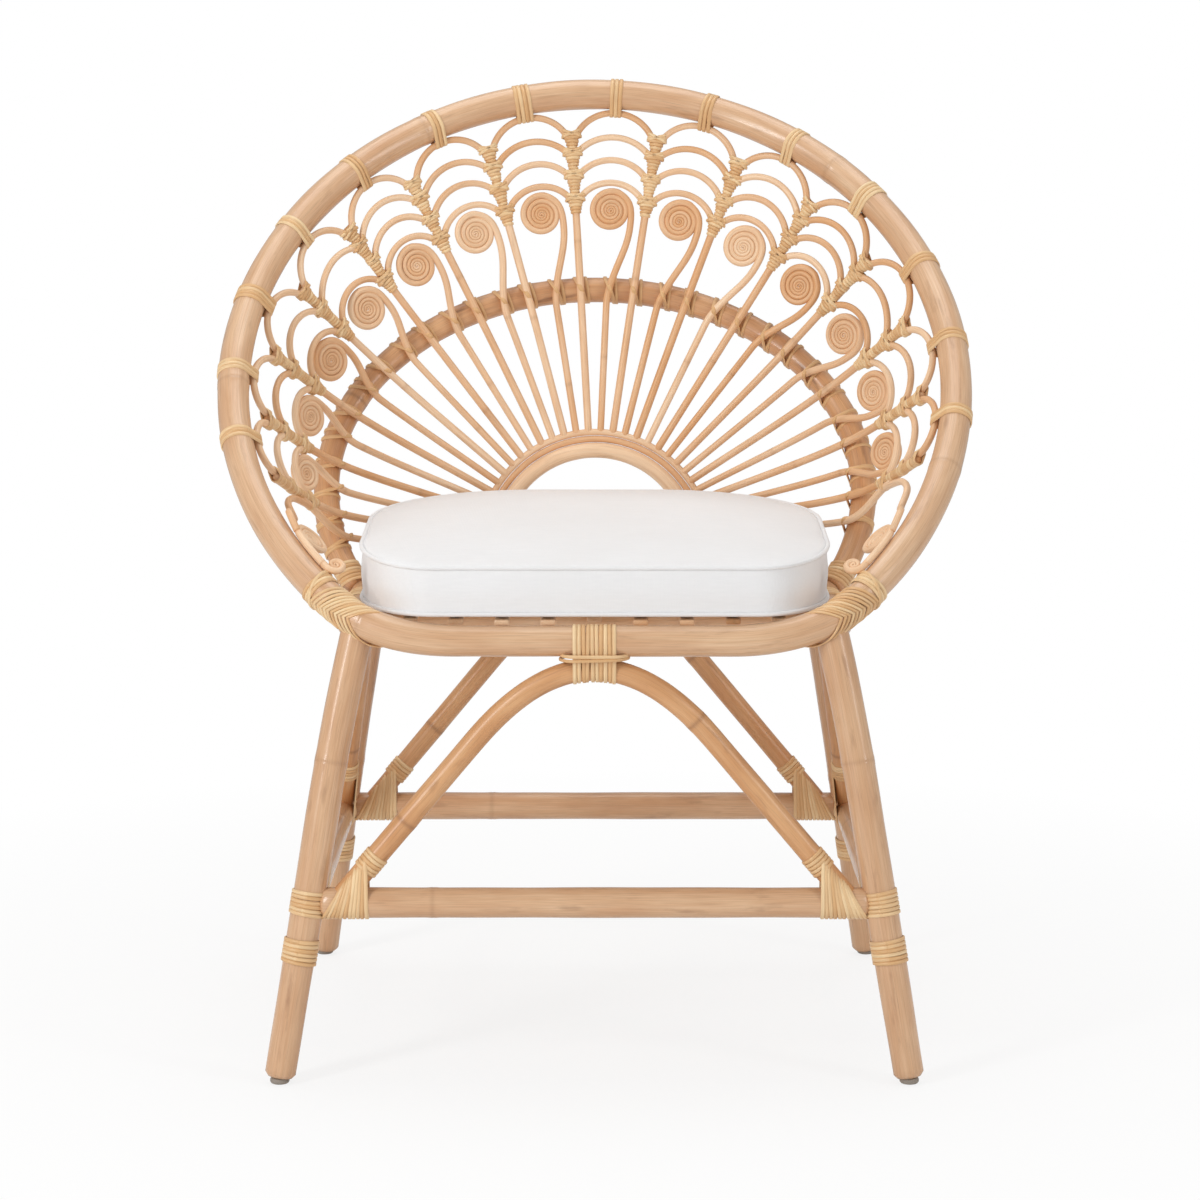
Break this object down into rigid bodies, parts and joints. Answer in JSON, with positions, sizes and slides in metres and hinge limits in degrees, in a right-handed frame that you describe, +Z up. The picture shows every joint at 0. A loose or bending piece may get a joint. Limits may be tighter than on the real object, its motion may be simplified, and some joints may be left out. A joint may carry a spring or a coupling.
{
  "type": "rattan peacock chair",
  "caption": "Low rattan chair with a round fan back of ribs, curls and scalloped arches, a pole frame with arched braces and a loose white seat cushion.",
  "frame": {"origin": "on the floor under the middle of the chair's bounding box", "axes": "+X to the right of a viewer who faces the chair, +Y toward the back of the chair (the sitter faces -Y), +Z up"},
  "size_m": [0.7422, 0.5704, 0.9304],
  "materials": {
    "pole": "clear satin lacquer on peeled rattan pole",
    "rod": "clear satin lacquer on thin rattan core",
    "brace": "clear satin lacquer on warmer rattan pole",
    "cane": "glossy flat cane skin",
    "glide": "moulded matt plastic",
    "cloth": "plain woven off-white cotton"
  },
  "bodies": {
    "chair_frame": {"rim_hoop": "pole", "front_rail": "pole", "seat_hoop": "pole", "front_leg_right": "pole", "front_leg_left": "pole", "back_leg_right": "pole", "back_leg_left": "pole", "front_stretcher": "pole", "back_stretcher": "pole", "side_stretcher_right": "pole", "side_stretcher_left": "pole", "back_hoop": "rod", "hub_outer_arch": "rod", "hub_middle_arch": "rod", "hub_inner_arch": "rod", "seat_slats": "rod", "rib_01": "rod", "rib_02": "rod", "rib_03": "rod", "rib_04": "rod", "rib_05": "rod", "rib_06": "rod", "rib_07": "rod", "rib_08": "rod", "rib_09": "rod", "rib_10": "rod", "rib_11": "rod", "rib_12": "rod", "rib_13": "rod", "rib_14": "rod", "rib_15": "rod", "curl_spoke_01": "rod", "curl_spoke_02": "rod", "curl_spoke_03": "rod", "curl_spoke_04": "rod", "curl_spoke_05": "rod", "curl_spoke_06": "rod", "curl_spoke_07": "rod", "curl_spoke_08": "rod", "curl_spoke_09": "rod", "curl_spoke_10": "rod", "curl_spoke_11": "rod", "curl_spoke_12": "rod", "curl_spoke_13": "rod", "curl_spoke_14": "rod", "rim_curl_right": "rod", "rim_curl_left": "rod", "front_brace": "brace", "back_brace": "brace", "side_brace_right": "brace", "side_brace_left": "brace", "front_lashing": "cane", "corner_wrap_right": "cane", "corner_wrap_left": "cane", "front_glide_right": "glide", "front_glide_left": "glide", "back_glide_right": "glide", "back_glide_left": "glide"},
    "cushion": {"seat_cushion": "cloth"}
  },
  "joints": [
    {"name": "cushion_lift", "type": "slide", "parent": "chair_frame", "child": "cushion", "axis": [0, 0, 1], "range_m": [0, 0.5]}
  ]
}
